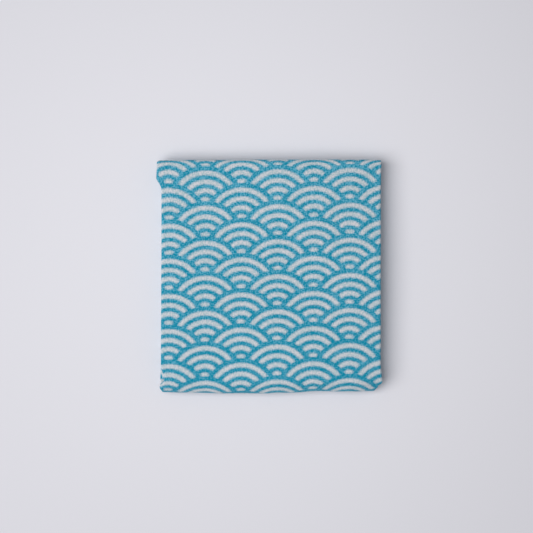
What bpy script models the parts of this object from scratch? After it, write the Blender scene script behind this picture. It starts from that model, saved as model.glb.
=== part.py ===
"""A square face towel of soft gauze, folded in thirds across and then in thirds lengthwise.

The towel is one hemmed cloth with its patterned face outwards. It lies on its lower third: X runs
across it, Y along it, and the origin is at the middle of the footprint, on the surface it rests on.
"""

import math
from collections import namedtuple

import bmesh
import bpy

# The cloth as it is cut and hemmed, in metres.
CUT_WIDTH = 0.340
CUT_LENGTH = 0.350
CLOTH = 0.0010
HEM_THICKNESS = 0.00115
HEM_DEPTH = 0.0060
HEM_STEP = 0.0006

# The folded towel, in metres.
FOLDED_WIDTH = 0.113
FOLDED_LENGTH = 0.120
LAYER_GAP = 0.00045

# The inner cloths take the shorter way round each turn. This share of their spare length shows as
# stepped ends, and the rest is taken up as slack inside the folds.
SLIP_SHARE = 0.25

# Past the stepped ends of the lower third nothing holds the top fold up, so it droops.
DROOP = 0.0008

# The pressed edges are a little thinner than the middle, and the surface swells softly between.
BOTTOM_TAPER = 0.055
SIDE_TAPER = 0.035
TAPER_REACH = 0.014
SWELL = 0.050
SWELL_ACROSS = 0.090
SWELL_ALONG = 0.085
SWELL_CREST = (0.013, 0.040)
DRIFT_REACH = 0.030

# A corner pressed down by hand: its side and its end, -1 or 1, how far in the press reaches, and
# the share of the height that it takes.
Press = namedtuple("Press", "side end reach share")
PRESSES = (
    Press(1, 1, 0.040, 0.05),
    Press(1, -1, 0.012, 0.20),
)

FACE_COLOUR = (0.055, 0.375, 0.520, 1.0)

# How a strip is folded in thirds: its cut length, the width it is folded to, the thickness of what
# is folded, how far the tucked third stops short of the wide turn, the end, -1 or 1, where the
# tighter of the two turns lies, and how full the tighter and the wider turn are.
Fold = namedtuple("Fold", "cut width layer clearance small_side small_fullness large_fullness")


def small_radius(fold):
    """Outer radius of the turn between the front third and the tucked third."""
    return fold.layer + LAYER_GAP / 2


def large_radius(fold):
    """Outer radius of the turn that takes the lower third round the tucked one."""
    return 1.5 * fold.layer + LAYER_GAP


def height_of(fold):
    return 2 * large_radius(fold)


def stretches(fold):
    """Start and end of each stretch of the strip, measured on its outer face."""
    front_run = fold.width - small_radius(fold) - large_radius(fold)
    lengths = {
        "tucked": front_run - fold.clearance,
        "small turn": math.pi * small_radius(fold),
        "front": front_run,
        "large turn": math.pi * large_radius(fold),
    }
    found = {}
    start = 0.0
    for name, length in lengths.items():
        found[name] = (start, start + length)
        start += length
    found["lower"] = (start, fold.cut)
    return found


def around(radius, angle, fullness):
    """How far out and up a turn reaches: 2 is a round turn, more is boxy and less is pinched."""
    sides = abs(math.sin(angle)) ** fullness + abs(math.cos(angle)) ** fullness
    reach = radius * sides ** (-1 / fullness)
    return reach * math.sin(angle), reach * math.cos(angle)


def folded_place(fold, s, inset):
    """(place along the folded strip, height) of a point s along the strip, inset from its face."""
    parts = stretches(fold)
    small = small_radius(fold)
    large = large_radius(fold)
    small_centre = -fold.width / 2 + small
    large_centre = fold.width / 2 - large
    if s <= parts["tucked"][1]:
        place = small_centre + parts["tucked"][1] - s
        depth = 2 * small - inset
    elif s <= parts["small turn"][1]:
        angle = (s - parts["small turn"][0]) / small
        out, down = around(small - inset, angle, fold.small_fullness)
        place = small_centre - out
        depth = small + down
    elif s <= parts["front"][1]:
        place = small_centre + s - parts["front"][0]
        depth = inset
    elif s <= parts["large turn"][1]:
        angle = (s - parts["large turn"][0]) / large
        out, up = around(large - inset, angle, fold.large_fullness)
        place = large_centre + out
        depth = large - up
    else:
        place = large_centre - (s - parts["lower"][0])
        depth = 2 * large - inset
    return -fold.small_side * place, height_of(fold) - depth


ACROSS = Fold(
    CUT_WIDTH,
    FOLDED_WIDTH,
    layer=CLOTH,
    clearance=0.0005,
    small_side=-1,
    small_fullness=2.4,
    large_fullness=4.0,
)
THREE_CLOTHS = height_of(ACROSS)
ALONG = Fold(
    CUT_LENGTH,
    FOLDED_LENGTH,
    layer=THREE_CLOTHS,
    clearance=0.0035,
    small_side=1,
    small_fullness=4.0,
    large_fullness=1.5,
)

LOWER_RUN = CUT_LENGTH - stretches(ALONG)["lower"][0]
LONGEST_STEP = SLIP_SHARE * math.pi * THREE_CLOTHS
DROOP_REACH = FOLDED_LENGTH - large_radius(ALONG) - LOWER_RUN - LONGEST_STEP

# How far the left and right folded edges lie inside the plain width, in metres, at a share of each
# stretch of the length. The corners differ: the top left one flares out, the bottom left one is
# notched, and the bottom right one is rounded off.
EdgeDrift = namedtuple("EdgeDrift", "stretch share left right")
EDGE_DRIFT = (
    EdgeDrift("tucked", 0.00, 0.0006, 0.0012),
    EdgeDrift("tucked", 0.50, 0.0007, 0.0008),
    EdgeDrift("tucked", 0.93, 0.0002, 0.0004),
    EdgeDrift("small turn", 0.10, -0.0008, 0.0004),
    EdgeDrift("small turn", 0.50, -0.0011, 0.0001),
    EdgeDrift("small turn", 0.78, -0.0020, -0.0001),
    EdgeDrift("front", 0.05, -0.0022, 0.0002),
    EdgeDrift("front", 0.10, 0.0004, 0.0003),
    EdgeDrift("front", 0.50, 0.0003, 0.0003),
    EdgeDrift("front", 0.93, 0.0001, 0.0003),
    EdgeDrift("front", 0.99, 0.0019, -0.0003),
    EdgeDrift("large turn", 0.08, 0.0009, -0.0007),
    EdgeDrift("large turn", 0.26, -0.0006, 0.0014),
    EdgeDrift("large turn", 0.48, 0.0003, 0.0030),
    EdgeDrift("large turn", 0.80, 0.0001, 0.0014),
    EdgeDrift("lower", 0.02, -0.0006, 0.0004),
    EdgeDrift("lower", 0.10, 0.0002, 0.0002),
    EdgeDrift("lower", 0.50, 0.0004, 0.0006),
    EdgeDrift("lower", 1.00, 0.0001, 0.0002),
)

# How far the top and bottom folds lie inside the plain length, at a share of the width.
FoldDrift = namedtuple("FoldDrift", "share top bottom")
FOLD_DRIFT = (
    FoldDrift(0.00, 0.0005, 0.0005),
    FoldDrift(0.14, 0.0003, 0.0003),
    FoldDrift(0.28, 0.0003, -0.0001),
    FoldDrift(0.48, 0.0001, -0.0001),
    FoldDrift(0.60, 0.0001, 0.0003),
    FoldDrift(0.74, 0.0000, 0.0010),
    FoldDrift(0.86, 0.0001, 0.0008),
    FoldDrift(1.00, 0.0002, 0.0011),
)

# Straight steps of the mesh along each stretch, for the fold across and the fold lengthwise.
ACROSS_STEPS = {"tucked": 7, "small turn": 6, "front": 12, "large turn": 8, "lower": 7}
ALONG_STEPS = {"tucked": 7, "small turn": 10, "front": 12, "large turn": 12, "lower": 7}
DROOP_STEPS = 2


def eased(share):
    """A share from 0 to 1, held at its ends and smooth between them."""
    held = min(max(share, 0.0), 1.0)
    return held * held * (3 - 2 * held)


def between(rows, at):
    """The value at a place, eased between the (place, value) rows."""
    if at <= rows[0][0]:
        return rows[0][1]
    for (start, low), (end, high) in zip(rows, rows[1:]):
        if at <= end:
            return low + (high - low) * eased((at - start) / (end - start))
    return rows[-1][1]


def drift_rows(side):
    """(place along the length, inset) rows for the left or the right folded edge."""
    parts = stretches(ALONG)
    rows = []
    for row in EDGE_DRIFT:
        start, end = parts[row.stretch]
        rows.append((start + row.share * (end - start), getattr(row, side)))
    return rows


LEFT_ROWS = drift_rows("left")
RIGHT_ROWS = drift_rows("right")
TOP_ROWS = [(row.share, row.top) for row in FOLD_DRIFT]
BOTTOM_ROWS = [(row.share, row.bottom) for row in FOLD_DRIFT]


def near(edge_distance, reach):
    """1 at an edge, easing to 0 at the given distance from it."""
    return 1 - eased(edge_distance / reach)


def height_share(x, y):
    """How much of the plain height a place has: less at the patted edges and the pressed corners."""
    share = 1 - BOTTOM_TAPER * near(FOLDED_LENGTH / 2 + y, TAPER_REACH)
    share -= SIDE_TAPER * near(FOLDED_WIDTH / 2 - abs(x), TAPER_REACH)
    for press in PRESSES:
        aside = press.side * FOLDED_WIDTH / 2 - x
        off_end = press.end * FOLDED_LENGTH / 2 - y
        share -= press.share * near(math.hypot(aside, off_end), press.reach)
    crest_across = math.cos(math.tau * (x - SWELL_CREST[0]) / SWELL_ACROSS)
    crest_along = (1 + math.cos(math.tau * (y - SWELL_CREST[1]) / SWELL_ALONG)) / 2
    return share + SWELL * crest_across * crest_along


def folded(a, b, depth):
    """Where a point of the flat cloth lies, depth below the cloth's face, once it is folded."""
    x, level = folded_place(ACROSS, a, depth)
    inset = THREE_CLOTHS - level
    end_step = SLIP_SHARE * math.pi * inset
    s = b + end_step * (2 * b / CUT_LENGTH - 1)
    y, z = folded_place(ALONG, s, inset)

    from_left = x + FOLDED_WIDTH / 2
    from_right = FOLDED_WIDTH / 2 - x
    from_top = FOLDED_LENGTH / 2 - y
    from_bottom = FOLDED_LENGTH / 2 + y
    share = from_left / FOLDED_WIDTH

    if s <= stretches(ALONG)["front"][1]:
        z -= DROOP * near(from_top, DROOP_REACH)
    x += between(LEFT_ROWS, s) * near(from_left, DRIFT_REACH)
    x -= between(RIGHT_ROWS, s) * near(from_right, DRIFT_REACH)
    y -= between(TOP_ROWS, share) * near(from_top, DRIFT_REACH)
    y += between(BOTTOM_ROWS, share) * near(from_bottom, DRIFT_REACH)
    return x, y, z * height_share(x, y)


def evenly(start, end, steps):
    """Places from just past the start to the end, in even steps."""
    return [start + (end - start) * (k + 1) / steps for k in range(steps)]


def stations(fold, steps):
    """Places along the flat strip for the mesh's rows, with a narrow step at each hem."""
    inner_edge = HEM_DEPTH + HEM_STEP
    places = [0.0, HEM_DEPTH, inner_edge]
    for name, (start, end) in stretches(fold).items():
        first = inner_edge if name == "tucked" else start
        last = fold.cut - inner_edge if name == "lower" else end
        places += evenly(first, last, steps[name])
    places += [fold.cut - HEM_DEPTH, fold.cut]
    return places


def droop_stations():
    """Rows on both sides of the top fold, from where it starts to droop."""
    turn_start, turn_end = stretches(ALONG)["small turn"]
    run = DROOP_REACH - small_radius(ALONG)
    before = evenly(turn_start, turn_start - run, DROOP_STEPS)
    after = evenly(turn_end, turn_end + run, DROOP_STEPS)
    return before + after


def thickness_at(a, b):
    """The hem, turned in twice, is a little thicker than the cloth."""
    from_edge = min(a, CUT_WIDTH - a, b, CUT_LENGTH - b)
    return HEM_THICKNESS if from_edge < HEM_DEPTH + HEM_STEP / 2 else CLOTH


def clear_scene():
    for old in list(bpy.data.objects):
        bpy.data.objects.remove(old)


def cloth_material():
    """Washed cotton gauze: quite matt."""
    material = bpy.data.materials.new("cotton_gauze")
    material.use_nodes = True
    shader = material.node_tree.nodes["Principled BSDF"]
    shader.inputs["Base Color"].default_value = FACE_COLOUR
    shader.inputs["Roughness"].default_value = 0.9
    shader.inputs["Metallic"].default_value = 0.0
    return material


def flat_cloth():
    """The hemmed cloth laid flat, face up: x is a, y is minus b and z is minus the depth."""
    across = stations(ACROSS, ACROSS_STEPS)
    along = sorted(stations(ALONG, ALONG_STEPS) + droop_stations())
    columns = len(across) - 1
    rows = len(along) - 1
    flat = bmesh.new()
    bmesh.ops.create_grid(flat, x_segments=columns, y_segments=rows, size=0.5)
    for vert in flat.verts:
        column = round((vert.co.x + 0.5) * columns)
        row = round((0.5 - vert.co.y) * rows)
        vert.co = (across[column], -along[row], 0.0)
    bmesh.ops.solidify(flat, geom=flat.faces[:], thickness=CLOTH)
    face_level = max(vert.co.z for vert in flat.verts)
    for vert in flat.verts:
        on_face = vert.co.z > face_level - CLOTH / 2
        vert.co.z = 0.0 if on_face else -thickness_at(vert.co.x, -vert.co.y)
    return flat


def towel():
    """The cloth, folded point by point and centred over the place that it rests on."""
    shape = flat_cloth()
    for vert in shape.verts:
        vert.co = folded(vert.co.x, -vert.co.y, -vert.co.z)
    xs = [vert.co.x for vert in shape.verts]
    ys = [vert.co.y for vert in shape.verts]
    middle = (-(min(xs) + max(xs)) / 2, -(min(ys) + max(ys)) / 2, 0.0)
    bmesh.ops.translate(shape, verts=shape.verts[:], vec=middle)

    mesh = bpy.data.meshes.new("towel")
    shape.to_mesh(mesh)
    shape.free()
    mesh.materials.append(cloth_material())
    mesh.shade_smooth()
    cloth = bpy.data.objects.new("towel", mesh)
    bpy.context.scene.collection.objects.link(cloth)


clear_scene()
towel()
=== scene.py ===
"""The looks of a folded face towel of printed cotton gauze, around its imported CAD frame.

One hemmed cloth lies folded in thirds across and then lengthwise, its printed face outwards. The
cloth comes first, then what it is made of, its hem stitches, and last the floor, light and camera.
"""

import math
from collections import namedtuple

import bmesh
import bpy
from mathutils import Matrix, Vector, noise


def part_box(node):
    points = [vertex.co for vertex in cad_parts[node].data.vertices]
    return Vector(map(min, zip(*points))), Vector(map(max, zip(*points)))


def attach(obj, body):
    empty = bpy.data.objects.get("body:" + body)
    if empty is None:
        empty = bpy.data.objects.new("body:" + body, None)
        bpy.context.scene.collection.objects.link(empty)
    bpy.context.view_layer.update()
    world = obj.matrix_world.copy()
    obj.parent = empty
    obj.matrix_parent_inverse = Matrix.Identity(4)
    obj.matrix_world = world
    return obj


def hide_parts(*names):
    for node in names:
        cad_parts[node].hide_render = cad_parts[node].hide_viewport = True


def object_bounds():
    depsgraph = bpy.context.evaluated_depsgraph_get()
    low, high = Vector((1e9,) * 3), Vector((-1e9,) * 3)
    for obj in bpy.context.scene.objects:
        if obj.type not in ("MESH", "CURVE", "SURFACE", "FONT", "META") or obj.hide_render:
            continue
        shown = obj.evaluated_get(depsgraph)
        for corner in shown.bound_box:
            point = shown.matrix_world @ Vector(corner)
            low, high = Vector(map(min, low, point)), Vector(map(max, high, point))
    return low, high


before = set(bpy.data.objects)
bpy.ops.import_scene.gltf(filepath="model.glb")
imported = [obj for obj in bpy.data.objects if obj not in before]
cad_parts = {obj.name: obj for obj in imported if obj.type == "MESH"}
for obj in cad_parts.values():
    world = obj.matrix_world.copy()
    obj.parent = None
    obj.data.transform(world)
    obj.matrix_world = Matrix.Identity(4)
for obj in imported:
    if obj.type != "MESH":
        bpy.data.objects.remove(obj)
cad_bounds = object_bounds()


# The towel's cloth
# One cut length of soft gauze with a pile back, hemmed all round, then folded in thirds across and
# in thirds lengthwise and patted flat by hand, so its turns stay soft and its corners are uneven.

CUT_WIDTH = 0.340
CUT_LENGTH = 0.350
CLOTH = 0.0010
HEM_THICKNESS = 0.00115
HEM_DEPTH = 0.0060
HEM_STEP = 0.0006

FOLDED_WIDTH = 0.113
FOLDED_LENGTH = 0.120
LAYER_GAP = 0.00045

# The inner cloths take the shorter way round each turn, and this share of their spare length shows
# as stepped ends. Past those ends nothing holds the top fold up, so it droops.
SLIP_SHARE = 0.25
DROOP = 0.0008

# The patted edges are a little thinner than the middle, and the surface swells softly between.
BOTTOM_TAPER = 0.055
SIDE_TAPER = 0.035
TAPER_REACH = 0.014
SWELL = 0.050
SWELL_ACROSS = 0.090
SWELL_ALONG = 0.085
SWELL_CREST = (0.013, 0.040)
DRIFT_REACH = 0.030

# A corner pressed down by hand: its side and its end, -1 or 1, how far in the press reaches, and
# the share of the height that it takes.
Press = namedtuple("Press", "side end reach share")
PRESSES = (
    Press(1, 1, 0.040, 0.05),
    Press(1, -1, 0.012, 0.20),
)

# A strip folded in thirds: its cut length, the width it is folded to, the thickness of what is
# folded, how far the tucked third stops short of the wide turn, the end of the tighter turn, and
# how full the tighter and the wider turn are.
Fold = namedtuple("Fold", "cut width layer clearance small_side small_fullness large_fullness")


def small_radius(fold):
    """Outer radius of the turn between the front third and the tucked third."""
    return fold.layer + LAYER_GAP / 2


def large_radius(fold):
    """Outer radius of the turn that takes the lower third round the tucked one."""
    return 1.5 * fold.layer + LAYER_GAP


def height_of(fold):
    return 2 * large_radius(fold)


def stretches(fold):
    """Start and end of each stretch of the strip, measured on its outer face."""
    front_run = fold.width - small_radius(fold) - large_radius(fold)
    lengths = {
        "tucked": front_run - fold.clearance,
        "small turn": math.pi * small_radius(fold),
        "front": front_run,
        "large turn": math.pi * large_radius(fold),
    }
    found = {}
    start = 0.0
    for name, length in lengths.items():
        found[name] = (start, start + length)
        start += length
    found["lower"] = (start, fold.cut)
    return found


ACROSS = Fold(
    CUT_WIDTH,
    FOLDED_WIDTH,
    layer=CLOTH,
    clearance=0.0005,
    small_side=-1,
    small_fullness=2.4,
    large_fullness=4.0,
)
THREE_CLOTHS = height_of(ACROSS)
ALONG = Fold(
    CUT_LENGTH,
    FOLDED_LENGTH,
    layer=THREE_CLOTHS,
    clearance=0.0035,
    small_side=1,
    small_fullness=4.0,
    large_fullness=1.5,
)
STRETCHES = {ACROSS: stretches(ACROSS), ALONG: stretches(ALONG)}

LOWER_RUN = CUT_LENGTH - STRETCHES[ALONG]["lower"][0]
LONGEST_STEP = SLIP_SHARE * math.pi * THREE_CLOTHS
DROOP_REACH = FOLDED_LENGTH - large_radius(ALONG) - LOWER_RUN - LONGEST_STEP


def around(radius, angle, fullness):
    """How far out and up a turn reaches: 2 is a round turn, more is boxy and less is pinched."""
    sides = abs(math.sin(angle)) ** fullness + abs(math.cos(angle)) ** fullness
    reach = radius * sides ** (-1 / fullness)
    return reach * math.sin(angle), reach * math.cos(angle)


def folded_place(fold, s, inset):
    """(place along the folded strip, height) of a point s along the strip, inset from its face."""
    parts = STRETCHES[fold]
    small = small_radius(fold)
    large = large_radius(fold)
    small_centre = -fold.width / 2 + small
    large_centre = fold.width / 2 - large
    if s <= parts["tucked"][1]:
        place = small_centre + parts["tucked"][1] - s
        depth = 2 * small - inset
    elif s <= parts["small turn"][1]:
        angle = (s - parts["small turn"][0]) / small
        out, down = around(small - inset, angle, fold.small_fullness)
        place = small_centre - out
        depth = small + down
    elif s <= parts["front"][1]:
        place = small_centre + s - parts["front"][0]
        depth = inset
    elif s <= parts["large turn"][1]:
        angle = (s - parts["large turn"][0]) / large
        out, up = around(large - inset, angle, fold.large_fullness)
        place = large_centre + out
        depth = large - up
    else:
        place = large_centre - (s - parts["lower"][0])
        depth = 2 * large - inset
    return -fold.small_side * place, height_of(fold) - depth


# How far the left and right folded edges lie inside the plain width, at a share of each stretch of
# the length: the top left corner flares out, the bottom left one is notched, and the bottom right
# one is rounded off.
EdgeDrift = namedtuple("EdgeDrift", "stretch share left right")
EDGE_DRIFT = (
    EdgeDrift("tucked", 0.00, 0.0006, 0.0012),
    EdgeDrift("tucked", 0.50, 0.0007, 0.0008),
    EdgeDrift("tucked", 0.93, 0.0002, 0.0004),
    EdgeDrift("small turn", 0.10, -0.0008, 0.0004),
    EdgeDrift("small turn", 0.50, -0.0011, 0.0001),
    EdgeDrift("small turn", 0.78, -0.0020, -0.0001),
    EdgeDrift("front", 0.05, -0.0022, 0.0002),
    EdgeDrift("front", 0.10, 0.0004, 0.0003),
    EdgeDrift("front", 0.50, 0.0003, 0.0003),
    EdgeDrift("front", 0.93, 0.0001, 0.0003),
    EdgeDrift("front", 0.99, 0.0019, -0.0003),
    EdgeDrift("large turn", 0.08, 0.0009, -0.0007),
    EdgeDrift("large turn", 0.26, -0.0006, 0.0014),
    EdgeDrift("large turn", 0.48, 0.0003, 0.0030),
    EdgeDrift("large turn", 0.80, 0.0001, 0.0014),
    EdgeDrift("lower", 0.02, -0.0006, 0.0004),
    EdgeDrift("lower", 0.10, 0.0002, 0.0002),
    EdgeDrift("lower", 0.50, 0.0004, 0.0006),
    EdgeDrift("lower", 1.00, 0.0001, 0.0002),
)

# How far the top and bottom folds lie inside the plain length, at a share of the width.
FoldDrift = namedtuple("FoldDrift", "share top bottom")
FOLD_DRIFT = (
    FoldDrift(0.00, 0.0005, 0.0005),
    FoldDrift(0.14, 0.0003, 0.0003),
    FoldDrift(0.28, 0.0003, -0.0001),
    FoldDrift(0.48, 0.0001, -0.0001),
    FoldDrift(0.60, 0.0001, 0.0003),
    FoldDrift(0.74, 0.0000, 0.0010),
    FoldDrift(0.86, 0.0001, 0.0008),
    FoldDrift(1.00, 0.0002, 0.0011),
)


def eased(share):
    """A share from 0 to 1, held at its ends and smooth between them."""
    held = min(max(share, 0.0), 1.0)
    return held * held * (3 - 2 * held)


def between(rows, at):
    """The value at a place, eased between the (place, value) rows."""
    if at <= rows[0][0]:
        return rows[0][1]
    for (start, low), (end, high) in zip(rows, rows[1:]):
        if at <= end:
            return low + (high - low) * eased((at - start) / (end - start))
    return rows[-1][1]


def drift_rows(side):
    """(place along the length, inset) rows for the left or the right folded edge."""
    rows = []
    for row in EDGE_DRIFT:
        start, end = STRETCHES[ALONG][row.stretch]
        rows.append((start + row.share * (end - start), getattr(row, side)))
    return rows


LEFT_ROWS = drift_rows("left")
RIGHT_ROWS = drift_rows("right")
TOP_ROWS = [(row.share, row.top) for row in FOLD_DRIFT]
BOTTOM_ROWS = [(row.share, row.bottom) for row in FOLD_DRIFT]


def near(edge_distance, reach):
    """1 at an edge, easing to 0 at the given distance from it."""
    return 1 - eased(edge_distance / reach)


def height_share(x, y):
    """The share of the plain height at a place: less at patted edges and pressed corners."""
    share = 1 - BOTTOM_TAPER * near(FOLDED_LENGTH / 2 + y, TAPER_REACH)
    share -= SIDE_TAPER * near(FOLDED_WIDTH / 2 - abs(x), TAPER_REACH)
    for press in PRESSES:
        aside = press.side * FOLDED_WIDTH / 2 - x
        off_end = press.end * FOLDED_LENGTH / 2 - y
        share -= press.share * near(math.hypot(aside, off_end), press.reach)
    crest_across = math.cos(math.tau * (x - SWELL_CREST[0]) / SWELL_ACROSS)
    crest_along = (1 + math.cos(math.tau * (y - SWELL_CREST[1]) / SWELL_ALONG)) / 2
    return share + SWELL * crest_across * crest_along


def folded(a, b, depth):
    """Where a point of the flat cloth lies, depth below the cloth's face, once it is folded."""
    x, level = folded_place(ACROSS, a, depth)
    inset = THREE_CLOTHS - level
    end_step = SLIP_SHARE * math.pi * inset
    s = b + end_step * (2 * b / CUT_LENGTH - 1)
    y, z = folded_place(ALONG, s, inset)

    from_left = x + FOLDED_WIDTH / 2
    from_right = FOLDED_WIDTH / 2 - x
    from_top = FOLDED_LENGTH / 2 - y
    from_bottom = FOLDED_LENGTH / 2 + y
    share = from_left / FOLDED_WIDTH

    if s <= STRETCHES[ALONG]["front"][1]:
        z -= DROOP * near(from_top, DROOP_REACH)
    x += between(LEFT_ROWS, s) * near(from_left, DRIFT_REACH)
    x -= between(RIGHT_ROWS, s) * near(from_right, DRIFT_REACH)
    y -= between(TOP_ROWS, share) * near(from_top, DRIFT_REACH)
    y += between(BOTTOM_ROWS, share) * near(from_bottom, DRIFT_REACH)
    return Vector((x, y, z * height_share(x, y)))


# The hem's edge is rolled round, and its line of stitches draws it in. Washing leaves small soft
# hollows all over, which only ever go inwards, so that the layers stay clear of each other.
HEM_ROLL = 0.00050
ROLLED_SHARE = 0.8
STITCH_LINE = 0.0050
STITCH_DRAW = 0.00012
STITCH_REACH = 0.0005
FINE_HOLLOWS = 0.0045
FINE_HOLLOW_DEPTH = 0.00009
BROAD_HOLLOWS = 0.016
BROAD_HOLLOW_DEPTH = 0.00014


def edge_distance(a, b):
    return min(a, CUT_WIDTH - a, b, CUT_LENGTH - b)


def drawn_in(a, b):
    """How far the roll of the hem's edge and its stitches draw the face and the back together."""
    from_edge = edge_distance(a, b)
    rolled = 0.0
    if from_edge < HEM_ROLL:
        inwards = 1 - from_edge / HEM_ROLL
        rolled = ROLLED_SHARE * HEM_ROLL * (1 - math.sqrt(1 - inwards**2))
    return rolled + STITCH_DRAW * math.exp(-(((from_edge - STITCH_LINE) / STITCH_REACH) ** 2))


def hollow(a, b):
    fine = noise.noise(Vector((a, b, 0.0)) / FINE_HOLLOWS)
    broad = noise.noise(Vector((a, b, 1.0)) / BROAD_HOLLOWS)
    return FINE_HOLLOW_DEPTH * (0.5 + 0.5 * fine) + BROAD_HOLLOW_DEPTH * (0.5 + 0.5 * broad)


def depth_at(a, b, on_face):
    """Depth of the face or of the back, below the plain face of the cloth."""
    if on_face:
        return drawn_in(a, b) + hollow(a, b)
    in_hem = edge_distance(a, b) < HEM_DEPTH + HEM_STEP / 2
    return (HEM_THICKNESS if in_hem else CLOTH) - drawn_in(a, b)


# Straight steps of the mesh along each stretch. The hidden stretches have long ones. At the hem
# its rows lie close together, round the rolled edge and on both sides of the stitches.
ACROSS_STEPS = {"tucked": 20, "small turn": 10, "front": 112, "large turn": 14, "lower": 22}
ALONG_STEPS = {"tucked": 20, "small turn": 24, "front": 108, "large turn": 26, "lower": 22}
DROOP_STEPS = 5
HEM_PLACES = (
    0.0,
    0.16 * HEM_ROLL,
    0.50 * HEM_ROLL,
    HEM_ROLL,
    STITCH_LINE - 1.2 * STITCH_REACH,
    STITCH_LINE,
    STITCH_LINE + 1.2 * STITCH_REACH,
    HEM_DEPTH,
)


def evenly(start, end, steps):
    """Places from just past the start to the end, in even steps."""
    return [start + (end - start) * (k + 1) / steps for k in range(steps)]


def stations(fold, steps):
    """Places along the flat strip for the mesh's rows, close together at each hem."""
    inner_edge = HEM_DEPTH + HEM_STEP
    places = list(HEM_PLACES) + [inner_edge]
    for name, (start, end) in STRETCHES[fold].items():
        first = inner_edge if name == "tucked" else start
        last = fold.cut - inner_edge if name == "lower" else end
        places += evenly(first, last, steps[name])
    places += [fold.cut - place for place in reversed(HEM_PLACES)]
    return places


def droop_stations():
    """Rows on the hidden side of the top fold, from where it starts to droop."""
    turn_start = STRETCHES[ALONG]["small turn"][0]
    return evenly(turn_start, turn_start - DROOP_REACH + small_radius(ALONG), DROOP_STEPS)


def flat_lattice(columns, rows):
    """Two layers of a grid, walled round: x counts its columns, y its rows and z its two layers."""
    lattice = bmesh.new()
    bmesh.ops.create_grid(lattice, x_segments=columns, y_segments=rows, size=0.5)
    bmesh.ops.scale(lattice, verts=lattice.verts[:], vec=(columns, rows, 1.0))
    bmesh.ops.translate(lattice, verts=lattice.verts[:], vec=(columns / 2, -rows / 2, 0.0))
    bmesh.ops.solidify(lattice, geom=lattice.faces[:], thickness=1.0)
    return lattice


# How far the print is pulled aside at a corner, as the cloth was smoothed down there by hand.
Pull = namedtuple("Pull", "side end reach across along")
PULLS = (
    Pull(-1, 1, 0.026, -0.0007, 0.0012),
    Pull(-1, -1, 0.018, -0.0004, 0.0005),
    Pull(1, -1, 0.024, -0.0005, 0.0000),
)

# The print closes up over the top fold, where the gauze is gathered a little round the edge.
GATHER_START = 0.0566
GATHER_REACH = 0.0036
TOP_GATHER = 0.00160


def pulled(across, along):
    """Where on the print a place of the face lies, with its pulled corners and gathered fold."""
    place = Vector((across, along))
    shift = Vector((0.0, 0.0))
    for pull in PULLS:
        corner = Vector((pull.side * FOLDED_WIDTH / 2, pull.end * FOLDED_LENGTH / 2))
        shift += near((place - corner).length, pull.reach) * Vector((pull.across, pull.along))
    gathered = TOP_GATHER * eased((along - GATHER_START) / GATHER_REACH)
    return place - shift + Vector((0.0, gathered))


def running(points, middle):
    """Distance along a line of points, from its middle one."""
    distances = [0.0]
    for start, end in zip(points, points[1:]):
        distances.append(distances[-1] + (end - start).length)
    return [distance - distances[middle] for distance in distances]


def face_metres(surface):
    """Distances across and along the printed face, from the towel's middle, for its print."""
    middle_row = min(
        range(len(surface)),
        key=lambda row: abs(surface[row][0].y) - surface[row][0].z,
    )
    middle_column = min(
        range(len(surface[0])),
        key=lambda column: abs(surface[middle_row][column].x) - surface[middle_row][column].z,
    )
    across = []
    for line in surface:
        start = line[middle_column].x
        along_row = running([point.xz for point in line], middle_column)
        across.append([start + distance for distance in along_row])
    along = []
    for column in range(len(surface[0])):
        line = [row[column] for row in surface]
        start = line[middle_row].y
        down_column = running([point.yz for point in line], middle_row)
        along.append([start - distance for distance in down_column])
    return across, along


def folded_cloth():
    """The cloth's mesh, folded point by point, and the shift that centres it on its CAD solid."""
    across = stations(ACROSS, ACROSS_STEPS)
    along = sorted(stations(ALONG, ALONG_STEPS) + droop_stations())
    low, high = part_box("towel")
    surface = [[folded(a, b, 0.0) for a in across] for b in along]
    xs = [point.x for row in surface for point in row]
    ys = [point.y for row in surface for point in row]
    shift = Vector(
        (
            (low[0] + high[0] - min(xs) - max(xs)) / 2,
            (low[1] + high[1] - min(ys) - max(ys)) / 2,
            0.0,
        )
    )
    for row in surface:
        for point in row:
            point += shift
    metres_across, metres_along = face_metres(surface)

    shape = flat_lattice(len(across) - 1, len(along) - 1)
    face_level = max(vert.co.z for vert in shape.verts)
    cells = {}
    for vert in shape.verts:
        column = round(vert.co.x)
        row = round(-vert.co.y)
        on_face = vert.co.z > face_level - 0.5
        cells[vert] = (column, row, on_face)
        a = across[column]
        b = along[row]
        vert.co = folded(a, b, depth_at(a, b, on_face)) + shift

    print_metres = shape.loops.layers.uv.new("cloth_metres")
    for face in shape.faces:
        for loop in face.loops:
            column, row, on_face = cells[loop.vert]
            loop[print_metres].uv = pulled(metres_across[row][column], metres_along[column][row])
        on_back = not any(cells[vert][2] for vert in face.verts)
        past_hem = all(
            edge_distance(across[cells[vert][0]], along[cells[vert][1]]) > HEM_DEPTH - HEM_STEP
            for vert in face.verts
        )
        face.material_index = 1 if on_back and past_hem else 0
        face.smooth = True

    mesh = bpy.data.meshes.new("towel_cloth")
    shape.to_mesh(mesh)
    shape.free()
    return mesh, shift


cloth_mesh, cloth_shift = folded_cloth()
towel_cloth = bpy.data.objects.new("towel_cloth", cloth_mesh)
bpy.context.scene.collection.objects.link(towel_cloth)

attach(towel_cloth, "root")
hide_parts("towel")


# The printed face
# Fine white cotton gauze, loosely woven and printed with rows of overlapping waves in one teal ink.
# To the eye it is quite matt and slightly rough: the yarns are uneven, so they break up the edges
# of the print. The white and the ink are painted paler on the crowns of the yarns than between
# them, as painted light and shade, and the darker white is tinted by the ink. The fuzz of the
# cotton catches a little light where the cloth turns away.

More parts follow.
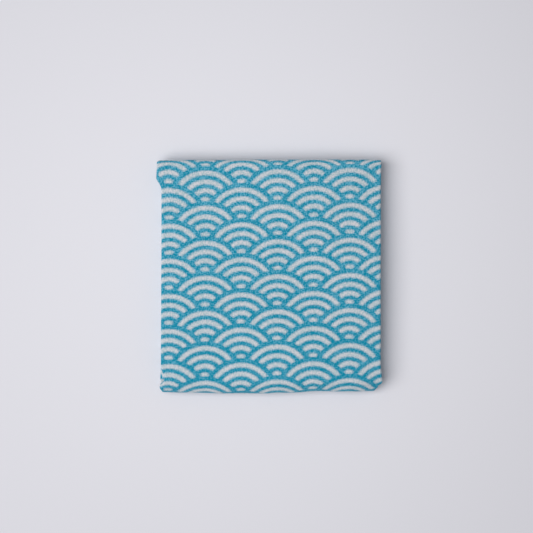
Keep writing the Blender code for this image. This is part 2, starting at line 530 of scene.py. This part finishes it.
# The white runs from its own colour to a darker, ink-tinted one, which is partly painted shade
# between the yarns.
GAUZE_WHITE = "#D6D4D9"
GAUZE_TINT_AND_PAINTED_SHADE = "#ADC3C9"
INK_DEEP = "#0088A6"
INK_PALE = "#66B2CC"

# Each wave is three white bands between four ink lines, round a white eye. Its upper part shows,
# and the waves of the next rows down cover the rest.
WAVE_WIDTH = 0.03686
WAVE_RISE = 0.00894
WAVE_RADIUS = 0.01955
INK_LINE = 0.00226
WHITE_LINE = 0.00224
WAVE_CENTRE = (0.00410, 0.03736)
WAVE_LEAN = 0.0051
WAVE_TILT = 0.0194
ROUNDED_END = 0.00225
INK_BLEED = 0.00053

# The real yarns lie about 0.4 mm apart. They are drawn half as coarse again, so that they show.
YARN = 0.00060
SLUB = 0.0015
GRAIN_CONTRAST = (0.75, 1.25)
BLOTCH = 0.0060
BLOTCH_SHARE = 0.8
TOOTH = 0.00012
YARN_RELIEF = 0.4
YARN_DEPTH = 0.0002

# Towards the top of the towel the ink is paler and the tones patchier than towards its bottom.
PRINT_TOP = 0.045
PRINT_BOTTOM = -0.045
EVEN_GRAIN = 0.90
PATCHY_AT_TOP = 2.00
PATCHY_AT_BOTTOM = 1.25
PALER_AT_TOP = 0.11
PALER_AT_BOTTOM = -0.14
WHITE_TONES = (-0.80, 0.80)
INK_TONES = (-0.50, 1.10)


def linear(colour):
    """A linear colour with alpha, from an sRGB hex value."""
    shares = [int(colour[start:start + 2], 16) / 255 for start in (1, 3, 5)]
    parts = [
        share / 12.92 if share <= 0.04045 else ((share + 0.055) / 1.055) ** 2.4 for share in shares
    ]
    return (*parts, 1.0)


def add(tree, kind, settings, inputs):
    """Adds a node with its settings, fills or links its inputs, and gives its first output."""
    node = tree.nodes.new(kind)
    for name, value in settings.items():
        setattr(node, name, value)
    for name, value in inputs.items():
        live = [socket for socket in node.inputs if socket.enabled]
        at = name if isinstance(name, int) else [socket.name for socket in live].index(name)
        if isinstance(value, bpy.types.NodeSocket):
            tree.links.new(value, live[at])
        else:
            live[at].default_value = value
    return next(socket for socket in node.outputs if socket.enabled)


def white_depth(tree, radius):
    """How far inside a white band of its wave a place lies, and negative on an ink line."""
    pitch = WHITE_LINE + INK_LINE
    outer_band = WAVE_RADIUS - INK_LINE - WHITE_LINE / 2
    eye = outer_band - 3 * pitch + WHITE_LINE / 2
    outwards = add(tree, "ShaderNodeMath", {"operation": "SUBTRACT"}, {0: radius, 1: outer_band})
    held = add(tree, "ShaderNodeMath", {"operation": "MINIMUM"}, {0: outwards, 1: pitch / 2})
    aside = add(tree, "ShaderNodeMath", {"operation": "PINGPONG"}, {0: held, 1: pitch / 2})
    in_band = add(tree, "ShaderNodeMath", {"operation": "SUBTRACT"}, {0: WHITE_LINE / 2, 1: aside})
    in_eye = add(tree, "ShaderNodeMath", {"operation": "SUBTRACT"}, {0: eye, 1: radius})
    return add(tree, "ShaderNodeMath", {"operation": "MAXIMUM"}, {0: in_band, 1: in_eye})


def wave_print(tree, across, along):
    """Depth inside the white: the lowest wave that covers a place shows, over those above."""
    u = add(tree, "ShaderNodeMath", {"operation": "SUBTRACT"}, {0: across, 1: WAVE_CENTRE[0]})
    v = add(tree, "ShaderNodeMath", {"operation": "SUBTRACT"}, {0: along, 1: WAVE_CENTRE[1]})
    p = add(tree, "ShaderNodeMath", {"operation": "MULTIPLY_ADD"}, {0: v, 1: -WAVE_LEAN, 2: u})
    q = add(tree, "ShaderNodeMath", {"operation": "MULTIPLY_ADD"}, {0: u, 1: -WAVE_TILT, 2: v})
    rows_up = add(tree, "ShaderNodeMath", {"operation": "DIVIDE"}, {0: q, 1: WAVE_RISE})
    row_here = add(tree, "ShaderNodeMath", {"operation": "FLOOR"}, {0: rows_up})

    shown = None
    for rows_below in range(3):
        row = add(tree, "ShaderNodeMath", {"operation": "SUBTRACT"}, {0: row_here, 1: rows_below})
        height = add(
            tree, "ShaderNodeMath", {"operation": "MULTIPLY_ADD"}, {0: row, 1: -WAVE_RISE, 2: q}
        )
        odd = add(tree, "ShaderNodeMath", {"operation": "FLOORED_MODULO"}, {0: row, 1: 2.0})
        place = add(
            tree, "ShaderNodeMath", {"operation": "MULTIPLY_ADD"}, {0: odd, 1: WAVE_WIDTH / 2, 2: p}
        )
        aside = add(
            tree, "ShaderNodeMath", {"operation": "PINGPONG"}, {0: place, 1: WAVE_WIDTH / 2}
        )
        arm = add(tree, "ShaderNodeCombineXYZ", {}, {"X": aside, "Y": height})
        radius = add(tree, "ShaderNodeVectorMath", {"operation": "LENGTH"}, {0: arm})
        white = white_depth(tree, radius)
        if shown is None:
            shown = white
            continue
        outside = add(
            tree, "ShaderNodeMath", {"operation": "SUBTRACT"}, {0: radius, 1: WAVE_RADIUS}
        )
        cut_off = add(
            tree,
            "ShaderNodeMath",
            {"operation": "SMOOTH_MIN"},
            {0: shown, 1: outside, 2: ROUNDED_END},
        )
        clear = add(tree, "ShaderNodeMath", {"operation": "GREATER_THAN"}, {0: outside, 1: 0.0})
        shown = add(
            tree,
            "ShaderNodeMix",
            {"data_type": "FLOAT"},
            {"Factor": clear, "A": white, "B": cut_off},
        )
    return shown


def yarn_grain(tree, metres):
    """From 0 to 1: uneven yarns that run across and along, each swelling and thinning by turns."""
    runs = []
    for spacing in ((SLUB, YARN, 1.0), (YARN, SLUB, 1.0)):
        place = add(
            tree,
            "ShaderNodeMapping",
            {},
            {"Vector": metres, "Scale": [1 / size for size in spacing]},
        )
        runs.append(
            add(
                tree,
                "ShaderNodeTexNoise",
                {"noise_dimensions": "2D"},
                {"Vector": place, "Scale": 1.0, "Detail": 1.0, "Roughness": 0.5},
            )
        )
    both = add(tree, "ShaderNodeMath", {"operation": "ADD"}, {0: runs[0], 1: runs[1]})
    return add(
        tree,
        "ShaderNodeMapRange",
        {"clamp": True},
        {"Value": both, "From Min": GRAIN_CONTRAST[0], "From Max": GRAIN_CONTRAST[1]},
    )


def new_material(name):
    """A new material, its node tree and its shader."""
    material = bpy.data.materials.new(name)
    material.use_nodes = True
    return material, material.node_tree, material.node_tree.nodes["Principled BSDF"]


def printed_gauze():
    material, tree, shader = new_material("printed_cotton_gauze")
    metres = add(tree, "ShaderNodeUVMap", {"uv_map": "cloth_metres"}, {})
    parts = add(tree, "ShaderNodeSeparateXYZ", {}, {"Vector": metres}).node
    grain = yarn_grain(tree, metres)
    blotches = add(
        tree,
        "ShaderNodeTexNoise",
        {"noise_dimensions": "2D"},
        {"Vector": metres, "Scale": 1 / BLOTCH, "Detail": 2.0, "Roughness": 0.5},
    )
    uneven = add(
        tree,
        "ShaderNodeMath",
        {"operation": "MULTIPLY_ADD"},
        {0: blotches, 1: BLOTCH_SHARE, 2: grain},
    )
    up_the_print = {
        "Value": parts.outputs["Y"],
        "From Min": PRINT_BOTTOM,
        "From Max": PRINT_TOP,
    }
    patchy = add(
        tree,
        "ShaderNodeMapRange",
        {"clamp": True},
        {**up_the_print, "To Min": PATCHY_AT_BOTTOM, "To Max": PATCHY_AT_TOP},
    )
    paler = add(
        tree,
        "ShaderNodeMapRange",
        {"clamp": True},
        {**up_the_print, "To Min": PALER_AT_BOTTOM, "To Max": PALER_AT_TOP},
    )
    # Where the yarns lie low the tone goes darker, as painted shade, and on their crowns paler, as
    # painted light; the blotches make it vary at random as well.
    off_even = add(tree, "ShaderNodeMath", {"operation": "SUBTRACT"}, {0: uneven, 1: EVEN_GRAIN})
    tone = add(tree, "ShaderNodeMath", {"operation": "MULTIPLY"}, {0: off_even, 1: patchy})
    white_tone = add(
        tree,
        "ShaderNodeMapRange",
        {"clamp": True},
        {"Value": tone, "From Min": WHITE_TONES[0], "From Max": WHITE_TONES[1]},
    )
    paled = add(tree, "ShaderNodeMath", {"operation": "ADD"}, {0: tone, 1: paler})
    ink_tone = add(
        tree,
        "ShaderNodeMapRange",
        {"clamp": True},
        {"Value": paled, "From Min": INK_TONES[0], "From Max": INK_TONES[1]},
    )

    depth = wave_print(tree, parts.outputs["X"], parts.outputs["Y"])
    teeth = add(tree, "ShaderNodeMath", {"operation": "SUBTRACT"}, {0: grain, 1: 0.5})
    ragged = add(
        tree, "ShaderNodeMath", {"operation": "MULTIPLY_ADD"}, {0: teeth, 1: TOOTH, 2: depth}
    )
    ink = add(
        tree,
        "ShaderNodeMapRange",
        {"clamp": True},
        {
            "Value": ragged,
            "From Min": -INK_BLEED,
            "From Max": INK_BLEED,
            "To Min": 1.0,
            "To Max": 0.0,
        },
    )
    ink_colour = add(
        tree,
        "ShaderNodeMix",
        {"data_type": "RGBA"},
        {"Factor": ink_tone, "A": linear(INK_DEEP), "B": linear(INK_PALE)},
    )
    white_colour = add(
        tree,
        "ShaderNodeMix",
        {"data_type": "RGBA"},
        {"Factor": white_tone, "A": linear(GAUZE_TINT_AND_PAINTED_SHADE), "B": linear(GAUZE_WHITE)},
    )
    colour = add(
        tree,
        "ShaderNodeMix",
        {"data_type": "RGBA"},
        {"Factor": ink, "A": white_colour, "B": ink_colour},
    )
    bump = add(
        tree,
        "ShaderNodeBump",
        {},
        {"Height": grain, "Strength": YARN_RELIEF, "Distance": YARN_DEPTH},
    )
    tree.links.new(colour, shader.inputs["Base Color"])
    tree.links.new(bump, shader.inputs["Normal"])
    shader.inputs["Roughness"].default_value = 0.92
    shader.inputs["Specular IOR Level"].default_value = 0.12
    shader.inputs["Sheen Weight"].default_value = 0.50
    shader.inputs["Sheen Roughness"].default_value = 0.35
    return material


cloth_mesh.materials.append(printed_gauze())


# The pile back
# Short loops of soft cotton pile behind the gauze, undyed and washed. It shows only where layers
# part at the ends: matt, off-white and finely nubbed, with painted shade between its loops.

PILE_WHITE = "#D3D6D8"
PILE_PAINTED_SHADE = "#B4B9BD"
PILE_LOOP = 0.0011
LOOP_RELIEF = 0.6
LOOP_DEPTH = 0.0003


def cotton_pile():
    material, tree, shader = new_material("cotton_pile")
    metres = add(tree, "ShaderNodeUVMap", {"uv_map": "cloth_metres"}, {})
    loops = add(
        tree,
        "ShaderNodeTexVoronoi",
        {"voronoi_dimensions": "2D"},
        {"Vector": metres, "Scale": 1 / PILE_LOOP},
    )
    # Away from the middle of each loop the colour goes darker, as painted shade between the loops.
    colour = add(
        tree,
        "ShaderNodeMix",
        {"data_type": "RGBA"},
        {"Factor": loops, "A": linear(PILE_WHITE), "B": linear(PILE_PAINTED_SHADE)},
    )
    bump = add(
        tree,
        "ShaderNodeBump",
        {"invert": True},
        {"Height": loops, "Strength": LOOP_RELIEF, "Distance": LOOP_DEPTH},
    )
    tree.links.new(colour, shader.inputs["Base Color"])
    tree.links.new(bump, shader.inputs["Normal"])
    shader.inputs["Roughness"].default_value = 0.95
    shader.inputs["Specular IOR Level"].default_value = 0.2
    shader.inputs["Sheen Weight"].default_value = 0.3
    return material


cloth_mesh.materials.append(cotton_pile())


# The hem stitches
# White cotton sewing thread, one straight line of machine stitches round the hem, drawn down
# into the cloth. Each stitch is a short rounded length of two-ply thread.

THREAD_WHITE = "#D6DADC"
STITCH_PITCH = 0.0028
STITCH_HALF_LENGTH = 0.0011
STITCH_HALF_WIDTH = 0.00020
STITCH_HALF_HEIGHT = 0.00013

# The spun fibres of the thread lie in clumps about a third of a millimetre apart.
FIBRE_CLUMP = 0.001 / 3
FIBRE_RELIEF = 0.4
FIBRE_DEPTH = 0.00005


def stitch_lines():
    """(start, end) of the four stitched lines on the flat cloth, as x and minus y."""
    left = STITCH_LINE
    right = CUT_WIDTH - STITCH_LINE
    top = -STITCH_LINE
    bottom = STITCH_LINE - CUT_LENGTH
    corners = [
        Vector((left, top)),
        Vector((right, top)),
        Vector((right, bottom)),
        Vector((left, bottom)),
    ]
    return zip(corners, corners[1:] + corners[:1])


def hem_stitches():
    stitches = bmesh.new()
    size = Matrix.Diagonal((STITCH_HALF_LENGTH, STITCH_HALF_WIDTH, STITCH_HALF_HEIGHT, 1.0))
    for start, end in stitch_lines():
        run = end - start
        count = int(run.length / STITCH_PITCH)
        turn = Matrix.Rotation(math.atan2(run.y, run.x), 4, "Z")
        for number in range(count):
            middle = start + run * (number + 0.5) / count
            place = Matrix.Translation((middle.x, middle.y, -STITCH_HALF_HEIGHT))
            bmesh.ops.create_uvsphere(
                stitches, u_segments=6, v_segments=4, radius=1.0, matrix=place @ turn @ size
            )
    for vert in stitches.verts:
        vert.co = folded(vert.co.x, -vert.co.y, -vert.co.z) + cloth_shift
    bmesh.ops.recalc_face_normals(stitches, faces=stitches.faces[:])
    mesh = bpy.data.meshes.new("hem_stitches")
    stitches.to_mesh(mesh)
    stitches.free()
    mesh.shade_smooth()
    return mesh


def sewing_thread():
    material, tree, shader = new_material("cotton_sewing_thread")
    place = add(tree, "ShaderNodeTexCoord", {}, {}).node.outputs["Object"]
    fibres = add(
        tree,
        "ShaderNodeTexNoise",
        {},
        {"Vector": place, "Scale": 1 / FIBRE_CLUMP, "Detail": 2.0},
    )
    bump = add(
        tree,
        "ShaderNodeBump",
        {},
        {"Height": fibres, "Strength": FIBRE_RELIEF, "Distance": FIBRE_DEPTH},
    )
    tree.links.new(bump, shader.inputs["Normal"])
    shader.inputs["Base Color"].default_value = linear(THREAD_WHITE)
    shader.inputs["Roughness"].default_value = 0.7
    return material


stitch_mesh = hem_stitches()
stitch_mesh.materials.append(sewing_thread())
stitches = bpy.data.objects.new("hem_stitches", stitch_mesh)
bpy.context.scene.collection.objects.link(stitches)

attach(stitches, "root")


# The studio
# A pale floor, painted darker away from its middle as painted shade where the light falls off, a
# pale surround and one broad soft lamp on the left, seen from straight above through a long lens.

FLOOR_COLOUR = "#E8E7ED"
# The floor is painted darker from its middle out to this colour, as painted shade where the light
# falls off.
FLOOR_PAINTED_FALLOFF = "#D6D5DB"
FLOOR_LIGHT_POOL_MIDDLE = (0.0, 0.030, 0.0)
FLOOR_FALLOFF_REACH = 0.30
FLOOR_SIZE = 4.0
FLOOR_DROP = 0.00005
SURROUND_COLOUR = "#F4F5F8"
SURROUND_STRENGTH = 0.33
LAMP_PLACE = (-0.75, -0.16, 1.38)
LAMP_WIDTH = 1.30
LAMP_HEIGHT = 1.50
LAMP_WATTS = 22.5
PHOTO_WIDTH = 0.2717
CAMERA_HEIGHT = 1.50
CAMERA_OVER = (-0.00159, 0.00510)
SENSOR = 36.0


def studio_floor():
    shape = bmesh.new()
    bmesh.ops.create_grid(shape, x_segments=1, y_segments=1, size=FLOOR_SIZE / 2)
    bmesh.ops.translate(shape, verts=shape.verts[:], vec=(0.0, 0.0, -FLOOR_DROP))
    mesh = bpy.data.meshes.new("studio_floor")
    shape.to_mesh(mesh)
    shape.free()
    material, tree, shader = new_material("pale_studio_board")
    place = add(tree, "ShaderNodeTexCoord", {}, {}).node.outputs["Object"]
    # Painted shade: the floor's colour darkens with distance from a point by the towel.
    away = add(tree, "ShaderNodeVectorMath", {"operation": "DISTANCE"}, {0: place, 1: FLOOR_LIGHT_POOL_MIDDLE})
    painted_falloff = add(
        tree,
        "ShaderNodeMapRange",
        {"interpolation_type": "SMOOTHSTEP"},
        {"Value": away, "From Min": 0.0, "From Max": FLOOR_FALLOFF_REACH},
    )
    colour = add(
        tree,
        "ShaderNodeMix",
        {"data_type": "RGBA"},
        {"Factor": painted_falloff, "A": linear(FLOOR_COLOUR), "B": linear(FLOOR_PAINTED_FALLOFF)},
    )
    tree.links.new(colour, shader.inputs["Base Color"])
    shader.inputs["Roughness"].default_value = 0.85
    shader.inputs["Specular IOR Level"].default_value = 0.2
    mesh.materials.append(material)
    floor = bpy.data.objects.new("studio_floor", mesh)
    bpy.context.scene.collection.objects.link(floor)


def key_lamp():
    """A soft box that faces the towel."""
    data = bpy.data.lights.new("key_lamp", "AREA")
    data.shape = "RECTANGLE"
    data.size = LAMP_WIDTH
    data.size_y = LAMP_HEIGHT
    data.energy = LAMP_WATTS
    lamp = bpy.data.objects.new("key_lamp", data)
    lamp.location = LAMP_PLACE
    lamp.rotation_euler = (-Vector(LAMP_PLACE)).to_track_quat("-Z", "Y").to_euler()
    bpy.context.scene.collection.objects.link(lamp)


def pale_surround():
    world = bpy.data.worlds.new("pale_surround")
    world.use_nodes = True
    background = world.node_tree.nodes["Background"]
    background.inputs["Color"].default_value = linear(SURROUND_COLOUR)
    background.inputs["Strength"].default_value = SURROUND_STRENGTH
    bpy.context.scene.world = world


def overhead_camera():
    data = bpy.data.cameras.new("overhead_camera")
    data.sensor_width = SENSOR
    data.lens = SENSOR * CAMERA_HEIGHT / PHOTO_WIDTH
    camera = bpy.data.objects.new("overhead_camera", data)
    top = cad_bounds[1][2]
    camera.location = (CAMERA_OVER[0], CAMERA_OVER[1], top + CAMERA_HEIGHT)
    bpy.context.scene.collection.objects.link(camera)
    bpy.context.scene.camera = camera


studio_floor()
pale_surround()
key_lamp()
overhead_camera()
bpy.context.scene.view_settings.view_transform = "Standard"
